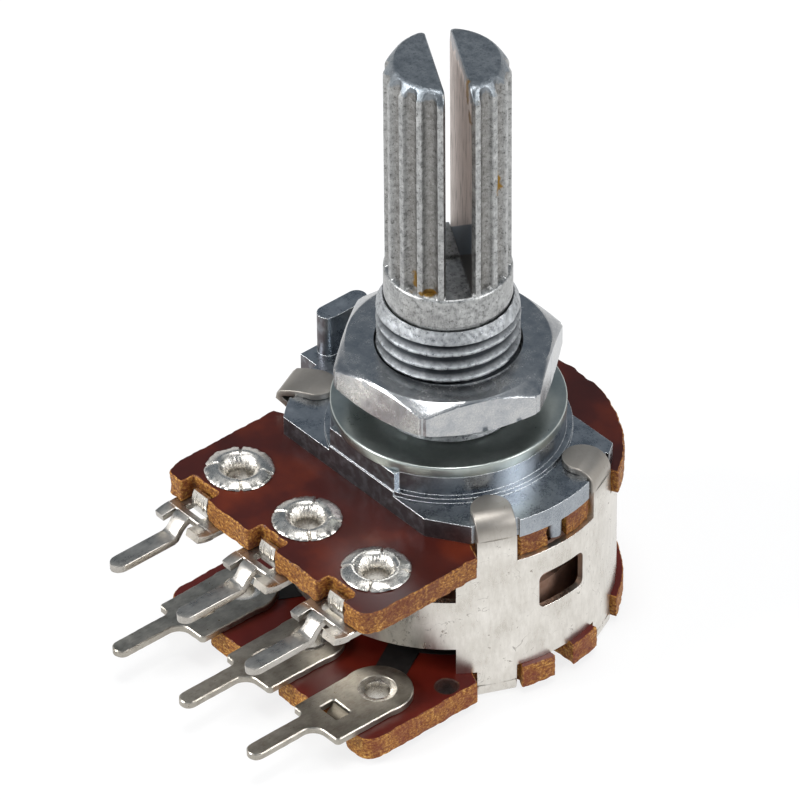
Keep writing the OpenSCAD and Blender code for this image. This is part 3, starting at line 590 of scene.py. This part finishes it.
def wafer_rim(side_r):
    """The wafer's outline, counterclockwise from its front left corner; side_r is its radius between the
    claws of one side."""
    edge = [(-wafer_half, wafer_end)]
    radii = [1.25]
    for i in (-1, 0, 1):
        left, right = i * pin_gap - 0.2 - 0.925, i * pin_gap - 0.2 + 0.925
        edge += [(left, wafer_end), (left, wafer_end + 0.8), (right, wafer_end + 0.8), (right, wafer_end)]
        radii += [0.15] * 4
    edge += [(wafer_half, wafer_end), (wafer_half, wafer_side_end)] + notch(-claw_turn, claw_half, claw_floor)[1:3]
    for side in (0, 180):
        mouth = claw_turn - np.degrees(np.arcsin(claw_half / side_r))
        slit = np.degrees(np.arcsin(peg_half / side_r))
        edge += arc_of(side_r, side - mouth, side - slit) + notch(side, peg_half, peg_floor)[1:3]
        edge += arc_of(side_r, side + slit, side + mouth)
        if side == 0:
            edge += notch(claw_turn, claw_half, claw_floor)[1:] + arc_of(wafer_r, 33, 147)
            edge += notch(180 - claw_turn, claw_half, claw_floor)[:3]
        else:
            edge += notch(180 + claw_turn, claw_half, claw_floor)[1:3]
    edge += [(-wafer_half, wafer_side_end)]
    radii = np.array(radii + [1.25] + [0.12] * (len(edge) - len(radii) - 1))
    return evenly(soften(edge, radii), 0.11)


def laminate(name, faces_shade, edge_shade, rough):
    """Phenolic paper: glossy drifting resin on the level faces, and on the edges grains of ochre paper
    with brown resin between them, rough and raised."""
    look, tree, shader, where = blank(name)
    place = where.outputs["Object"]
    normal = add(tree, "SeparateXYZ", {0: where.outputs["Normal"]})
    face = ramp(tree, noise(tree, place, 3.0, 4.0),
                [(0.3, faces_shade[0]), (0.5, faces_shade[1]), (0.72, faces_shade[2])])
    layers = add(tree, "Mapping", {"Vector": place, "Scale": (1, 1, 1.4)}).outputs[0]
    fibre = noise(tree, layers, 0.17, 3.0, 0.8)
    paper = ramp(tree, fibre, list(zip((0.34, 0.46, 0.56, 0.68), edge_shade)))
    # Painted shade: the edges that face along X, beside the pegs and claws, are mixed in blotches towards the darker
    # red of the faces.
    painted_side_shade = remap(tree, noise(tree, place, 1.1, 4.0), 0.40, 0.62, 0.15, 0.75)
    painted_side_shade = math(tree, "MULTIPLY", painted_side_shade, math(tree, "ABSOLUTE", normal.outputs["X"]))
    paper = add(tree, "Mix", {0: painted_side_shade, 6: paper, 7: linear(faces_shade[2])}, data_type="RGBA").outputs[2]
    upright = math(tree, "ABSOLUTE", normal.outputs["Z"])
    share = remap(tree, math(tree, "SUBTRACT", upright, math(tree, "MULTIPLY", fibre, 0.5)), 0.45, 0.62)
    both = add(tree, "Mix", {0: share, 6: paper, 7: face}, data_type="RGBA")
    tree.links.new(both.outputs[2], shader.inputs["Base Color"])
    tree.links.new(remap(tree, share, 0.0, 1.0, 0.62, rough), shader.inputs["Roughness"])
    shader.inputs["Specular IOR Level"].default_value = 0.4
    lift = remap(tree, share, 0.0, 1.0, 1.0, 0.02)
    relief = add(tree, "Bump", {"Strength": lift, "Distance": 0.05 * MM, "Height": fibre})
    tree.links.new(relief.outputs[0], shader.inputs["Normal"])
    return look


# Phenolic paper: the front wafer is the darker and glossier one, the rear one a plainer red-brown.
front_paper = laminate("phenolic_paper_front", ("#2E0B06", "#3B1008", "#5A200B"),
                       ("#4A200A", "#7C4614", "#A06C24", "#D8A85C"), 0.28)
rear_paper = laminate("phenolic_paper_rear", ("#480F09", "#59150C", "#68200F"),
                      ("#52240C", "#8A5218", "#AE7A2C", "#DCAE66"), 0.34)
# Painted shade: the small hole in the rear wafer is painted dark inside.
hole_x, hole_y, hole_r = 6.7, -6.0, 0.525
tree, place = opened(rear_paper)
away = distance(tree, place, (hole_x, hole_y, 0), (1, 1, 0))
overlay(rear_paper, remap(tree, away, 0.66 * MM, 0.58 * MM), "#3A1C12", 0.6)
eyelet_holes = [circle(i * pin_gap, eyelet_y, 0.93) for i in (-1, 0, 1)]
front_holes = eyelet_holes + [circle(0, 0, 3.2)]
rear_holes = eyelet_holes + [circle(0, 0, 1.8), circle(hole_x, hole_y, hole_r)]
piece("wafer_front", [slab(wafer_rim(7.9), front_holes, -3.6, -2.35, 0.06, 0.055, 31)], front_paper,
      replaces=["front_wafer"])
piece("wafer_rear", [slab(wafer_rim(wafer_r), rear_holes, -11.3, -10.05, 0.05, 0.045, 37)], rear_paper,
      replaces=["rear_wafer"])

# Terminals: tinned brass stampings. A plate with a lanced window lies on the wafer, its eyelet is drawn
# through the hole and flared over, and a tab bent out of the window keys into the wafer's notch.
def bar(spine, width, thick, shift=0.0, ease=0.05, camber=0.0):
    """A bent bar as a grid: a rounded rectangular section, width by thick, carried along a spine of (run,
    height) points square to it. Width, shift and camber may differ along it; the ends are closed."""
    spine = np.asarray(spine, float)
    count = len(spine)
    width, shift, thick, camber = [np.broadcast_to(v, count).astype(float) for v in (width, shift, thick, camber)]
    step = np.gradient(spine, axis=0)
    up = np.stack([-step[:, 1], step[:, 0]], 1) / np.linalg.norm(step, axis=1)[:, None]
    corner = np.array([[-1, -1], [1, -1], [1, 1], [-1, 1]])
    loops = []
    for i in range(count):
        half = np.array([width[i] / 2, thick[i] / 2])
        loop = soften(corner * half, min(ease, half[0] * 0.9, half[1] * 0.9), 3)
        lift = camber[i] * (loop[:, 0] / half[0]) ** 2
        spot = spine[i] + up[i] * (loop[:, 1] + lift)[:, None]
        loops.append(np.stack([loop[:, 0] + shift[i], spot[:, 0], spot[:, 1]], 1))
    loops = [0 * loops[0] + loops[0].mean(0)] + loops + [0 * loops[-1] + loops[-1].mean(0)]
    grid = np.array(loops)
    return np.concatenate([grid, grid[:, :1]], 1)


def eyelet(x, low, way, seed):
    """The drawn eyelet: its closed profile, from the strip through the wafer to the flare, is turned about
    the eyelet's axis; the rim is serrated, four cracks run in from it and the funnel is drawn in streaks."""
    profile = np.array([(0.86, -0.38), (0.62, -0.30), (0.55, -0.1), (0.55, 0.70), (0.58, 0.90), (0.66, 1.12),
                        (0.78, 1.32), (0.90, 1.44), (1.00, 1.51), (1.10, 1.54), (1.20, 1.53), (1.32, 1.49),
                        (1.44, 1.45), (1.54, 1.42), (1.62, 1.39), (1.68, 1.35), (1.705, 1.31), (1.69, 1.27),
                        (1.60, 1.262), (1.2, 1.262), (0.90, 1.262), (0.87, 1.2), (0.87, -0.02), (1.2, -0.02),
                        (1.2, -0.38)])
    grid = revolve(profile, 216)
    angle = np.linspace(0, 2 * np.pi, 217)[None]
    r, z = np.concatenate([profile, profile[:1]]).T[:, :, None]
    flare = np.clip((r - 0.75) / 0.9, 0, 1) * (z > 1.15)
    rng = np.random.default_rng(seed)
    cut = np.zeros_like(angle)
    for turn_to in rng.uniform(-0.2, 0.2, 4) + np.arange(4) * np.pi / 2 + 0.75:
        off = np.abs((angle - turn_to + np.pi) % (2 * np.pi) - np.pi)
        cut = np.maximum(cut, np.clip(1.25 - off / 0.05, 0, 1))
    turns = np.stack([np.cos(angle), np.sin(angle), 0 * angle], -1)
    teeth_off = 0.5 + 0.5 * ripple(turns * 4, 0.9, seed + 1)
    rim = np.clip((r - 1.45) / 0.2, 0, 1)
    new_r = r - rim * (0.022 * teeth_off + 0.012 * np.sin(angle * 48) ** 2) - 0.16 * flare ** 2 * cut
    new_r = new_r - 0.02 * (r < 0.7) * (z > 0.4) * np.sin(angle * 23) ** 2
    drop = (0.15 * flare * cut + 0.03 * rim * teeth_off) * (z > 1.3)
    new_z = z - drop + 0.009 * flare * ripple(grid, 0.6, seed)
    new_r = new_r + 0.018 * (r < 1.0) * (z > 1.0) * np.sin(angle * 37 + 2 * np.sin(angle * 5)) ** 2
    new_z = np.where((z > 1.2) & (z < 1.5), np.maximum(new_z, 1.262), new_z)
    return np.stack([x + new_r * np.cos(angle), eyelet_y + new_r * np.sin(angle), low + way * new_z], -1)


def plate_outline(front):
    """The plate's outline about its eyelet, material on the left: a round inner end, straight sides, and
    past the wafer's edge either the root of the joggled pin or the ears and the whole straight pin."""
    arc = [(1.75 * np.cos(a), 1.75 * np.sin(a)) for a in np.radians(np.linspace(-16, 196, 40))]
    if front:
        return arc + [(-1.65, -3.15), (1.65, -3.15)]
    pin = pin_mid + np.array([-0.475, 0.475])
    tip = [(pin_mid + 0.475 * np.cos(a), -7.125 + 0.475 * np.sin(a)) for a in np.radians(np.linspace(180, 360, 16))]
    fillet = [(pin[1] + 0.7 - 0.7 * np.cos(a), -4.6 + 0.7 * np.sin(a)) for a in np.radians(np.linspace(0, 90, 8))]
    return (arc + [(-1.65, -3.72), (-1.52, -3.86), (pin[0] - 0.12, -3.88), (pin[0], -4.05)] + tip
            + fillet + [(1.52, -3.88), (1.65, -3.74)])


pin_mid, strip_thick = -0.45, 0.4
# Tinned brass: soft greyish white, brushed along the pins.
tinned = metal("tinned_brass", ("#A29D96", "#C4C0B9"), (0.24, 0.38), 0.7, 0.005, stretch=(1, 0.25, 1))
# Freshly worked tin on the eyelets, tabs and ribs: whiter and shinier, in small facets.
bright_tinned = metal("bright_tinned_brass", ("#BAB6AF", "#E0DCD5"), (0.18, 0.36), 0.4, 0.009)
# Tin on the rear tabs, seen in the windows: painted brownish and dull, as painted shade under the rear wafer.
shaded_tinned = metal("tinned_brass_painted_shade", ("#5E574B", "#8C8476"), (0.50, 0.65), 0.5, 0.008)
# Dulled tin on the rear row: grey-beige, mottled, with brown specks.
dull_tinned = metal("dull_tinned_brass", ("#8E887E", "#BDB8AE"), (0.28, 0.46), 0.8, 0.008, stretch=(1, 0.3, 1),
                    specks=(-0.04, "#6C5A42"))
bend = np.linspace(0, np.pi / 2, 7)
for row, top, way, look in (("front", -3.6, 1, tinned), ("rear", -10.05, -1, dull_tinned)):
    for number, letter in enumerate("abc"):
        x, seed = (number - 1) * pin_gap, 50 + 7 * number + (3 if way > 0 else 0)
        outline = evenly(np.array(plate_outline(way > 0)), 0.09) + (x, eyelet_y)
        lance = (2.05, 2.75) if way > 0 else (2.05, 2.95)
        window = soften([(x - 0.775, eyelet_y - lance[0]), (x + 0.475, eyelet_y - lance[0]),
                         (x + 0.475, eyelet_y - lance[1]), (x - 0.775, eyelet_y - lance[1])], 0.12, 4)
        low, high = (top - strip_thick, top) if way > 0 else (top, top + strip_thick)
        plate = slab(outline, [window, circle(x, eyelet_y, 0.9)], low, high, 0.05, 0.012, seed, rows=3)
        s = np.linspace(0, 1, 20)
        # The tab rises through the notch in a shallow S and ends with two small ribs.
        if way > 0:
            tab_run, tab_high = eyelet_y - lance[0] - 0.12 - 0.13 * np.sin(s * np.pi), -0.3 + 1.16 * s
        else:
            tab_run = eyelet_y - lance[0] + 0.02 - 0.84 * s
            tab_high = -0.14 + 0.9 * s ** 1.2
        tab_high = top + way * tab_high
        tab_wide = (1.14 if way > 0 else 1.22) - 0.1 * s ** 4
        tab = bar(np.stack([tab_run, tab_high], 1), tab_wide, 0.26, x - 0.15, 0.07)
        parts = [plate, eyelet(x, top, way, seed), tab]
        if way > 0:
            for place in (-0.27, 0.27):
                rib = bar(np.stack([tab_run - 0.10, tab_high], 1)[6:19], 0.16, 0.14, x - 0.15 + place, 0.06)
                parts.append(rib)
            slope = np.array([(-3.0, -0.2), (-3.15, -0.21), (-3.3, -0.27), (-3.45, -0.42), (-3.62, -0.62),
                              (-3.8, -0.82), (-3.95, -0.95), (-4.1, -1.0), (-4.3, -1.0)])
            run = np.concatenate([slope, [(v, -1.0) for v in np.linspace(-4.6, -7.05, 12)],
                                  [(-7.05 - 0.545 * q, -1.0) for q in (0.3, 0.55, 0.75, 0.9, 0.97, 1.0)]])
            wide = np.full(len(run), 0.92)
            wide[2:7] = (0.92, 0.84, 0.78, 0.84, 0.92)
            wide[-6:] = 0.92 * np.sqrt(1 - np.array([0.3, 0.55, 0.75, 0.9, 0.97, 0.999]) ** 2)
            parts.append(bar(run + (eyelet_y, top), wide, 0.395, x + pin_mid, 0.045))
            for inner, outer, curl in ((0.62, 1.655, 0.10), (-1.02, -1.655, -0.06)):
                ear_run = np.linspace(-3.05, -3.9, 10)
                ear_high = -0.2 + curl * (np.clip((-3.15 - ear_run) / 0.75, 0, 1)) ** 1.5 * 1.6
                width = abs(outer - inner) * (1 - 0.12 * np.linspace(0, 1, 10) ** 3)
                parts.append(bar(np.stack([ear_run + eyelet_y, ear_high + top], 1), width, 0.39,
                                 x + (inner + outer) / 2, 0.05))
        looks = [look, bright_tinned, bright_tinned if way > 0 else shaded_tinned] + [look] * (len(parts) - 3)
        if way > 0:
            looks[3:5] = [bright_tinned] * 2
        piece(f"terminal_{row}_{letter}", parts, looks, replaces=[f"{row}_terminal_{letter}"],
              crease=30)

# Shell: one strip of tin plated steel, formed round both wafers and closed by a butt seam. Wall, windows
# and band are the solid's own; four claws and four tabs are bent over to clamp the stack.
shell_mid, shell_thick, claw_wide, bend_r = 7.925, 0.35, 1.96, 0.80
parts = cad_copy("shell", high=-2.1, low=-11.0, ease=0.045)
for number, turn_to in enumerate((-claw_turn, claw_turn, 180 - claw_turn, 180 + claw_turn)):
    c, s = np.cos(np.radians(turn_to)), np.sin(np.radians(turn_to))
    corner = np.stack([shell_mid - bend_r + bend_r * np.cos(bend), -1.115 - bend_r + bend_r * np.sin(bend)], 1)
    inward = np.linspace(shell_mid - bend_r - 0.05, 6.99, 5)
    tip = 6.99 - 0.985 * np.array([0.2, 0.4, 0.6, 0.75, 0.87, 0.95, 0.99, 1.0])
    spine = np.concatenate([[(shell_mid, z) for z in (-2.3, -2.15, -2.0)], corner,
                            np.stack([inward, 0 * inward - 1.115], 1), np.stack([tip, 0 * tip - 1.115], 1)])
    round_end = claw_wide * np.sqrt(np.maximum(1e-4, 1 - np.array([0.2, 0.4, 0.6, 0.75, 0.87, 0.95, 0.99, 1.0]) ** 2))
    wide = np.concatenate([np.full(len(spine) - 8, claw_wide), round_end])
    camber = np.concatenate([[0.06] * 3, 0.06 * np.cos(bend), np.zeros(len(spine) - 10)])
    if number == 3:
        # This claw was bent loosely: it bulges outward before it curls over the plate.
        bulge = np.clip((spine[:, 0] - 7.1) / 0.6, 0, 1) * np.clip((spine[:, 1] + 2.3) / 0.6, 0, 1)
        spine[:, 0] += 0.75 * bulge ** 1.5
    claw = bar(spine, wide, shell_thick, 0.0, 0.06, camber)
    foot = np.stack([shell_mid - 0.3 + 0.3 * np.cos(bend), -11.185 - 0.3 * np.sin(bend)], 1)
    foot = np.concatenate([[(shell_mid, -10.9), (shell_mid, -11.05)], foot, [(7.4, -11.485), (7.1, -11.485),
                                                                           (6.83, -11.485)]])
    tab = bar(foot, claw_wide, shell_thick, 0.0, 0.06, 0.0)
    for grid in (claw, tab):
        across, out, z = grid[..., 0], grid[..., 1], grid[..., 2]
        parts.append(np.stack([out * c - across * s, out * s + across * c, z], -1))
# Tin plated steel: warm white and brushed, with dark specks; the claws are duller and painted greyer, a painted
# reflection of the grey tent above them, and scratches run along the lines where a slow noise passes its middle, in
# patches.
tin = metal("tin_plated_steel", ("#C6C1B8", "#E8E4DD"), (0.24, 0.38), 1.8, 0.004, stretch=(1, 1, 0.3),
            specks=(-0.05, "#9A9288"))
tree, place = opened(tin)
height = add(tree, "SeparateXYZ", {0: place}).outputs["Z"]
# Painted reflection: the shell is painted greyer towards its top, over the claws.
overlay(tin, remap(tree, height, -2.7 * MM, -1.5 * MM, 0.0, 0.8), "#88827B", 0.52)
field = noise(tree, place, 1.6, 3.0, 0.5, 1.5)
line = math(tree, "ABSOLUTE", math(tree, "SUBTRACT", field, 0.5))
line = remap(tree, line, 0.007, 0.002, 0.0, 0.6)
patch = remap(tree, noise(tree, place, 0.9, 2.0), 0.54, 0.60)
overlay(tin, math(tree, "MULTIPLY", line, patch), "#837D75", 0.5)
piece("shell_strip", parts, tin, replaces=["shell"], crease=[14] * 2 + [34] * 8)


# Parts inside the shell: printed films on the wafers, moulded rotors, their sprung wipers and the
# shaft's clip. They are the solids themselves, seen dark through the windows and above the band.
def plastic(name, shades, rough, grain):
    """A moulded or printed surface: one drifting shade, with a fine grain in the relief."""
    look, tree, shader, where = blank(name)
    cloud = noise(tree, where.outputs["Object"], grain, 5.0)
    tree.links.new(ramp(tree, cloud, [(0.35, shades[0]), (0.65, shades[1])]), shader.inputs["Base Color"])
    tree.links.new(remap(tree, cloud, 0.3, 0.7, rough, rough + 0.15), shader.inputs["Roughness"])
    relief = add(tree, "Bump", {"Strength": 0.6, "Distance": 0.01 * MM, "Height": cloud})
    tree.links.new(relief.outputs[0], shader.inputs["Normal"])
    return look


# Printed carbon: near black and matt, in a fine grain.
carbon = plastic("printed_carbon", ("#0E0D0D", "#1C1A19"), 0.45, 0.15)
# Moulded plastic: brown, pale enough to show in the little light behind the windows.
moulding = plastic("brown_moulding", ("#A8836F", "#BC9886"), 0.45, 0.4)
# Printed silver, phosphor bronze and spring steel: dull grey, coppery and dark grey.
silver = metal("printed_silver", ("#8C8982", "#C4C0B8"), (0.40, 0.55), 0.3, 0.004)
bronze = metal("phosphor_bronze", ("#8A5E30", "#C08C54"), (0.22, 0.35), 0.8, 0.004)
spring = metal("spring_steel", ("#5A5C60", "#8B8D90"), (0.28, 0.42), 0.8, 0.004)
for look, names in ((carbon, ("front_track", "rear_track")), (silver, ("front_collector", "rear_collector")),
                    (moulding, ("front_rotor", "rear_rotor")), (bronze, ("front_wiper", "rear_wiper")),
                    (spring, ("retaining_clip",))):
    for name in names:
        nodes[name].data.materials.clear()
        nodes[name].data.materials.append(look)

bpy.context.view_layer.update()
size = {"solids": [list(corner) for corner in cad_box], "shown": [list(corner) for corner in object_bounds()]}
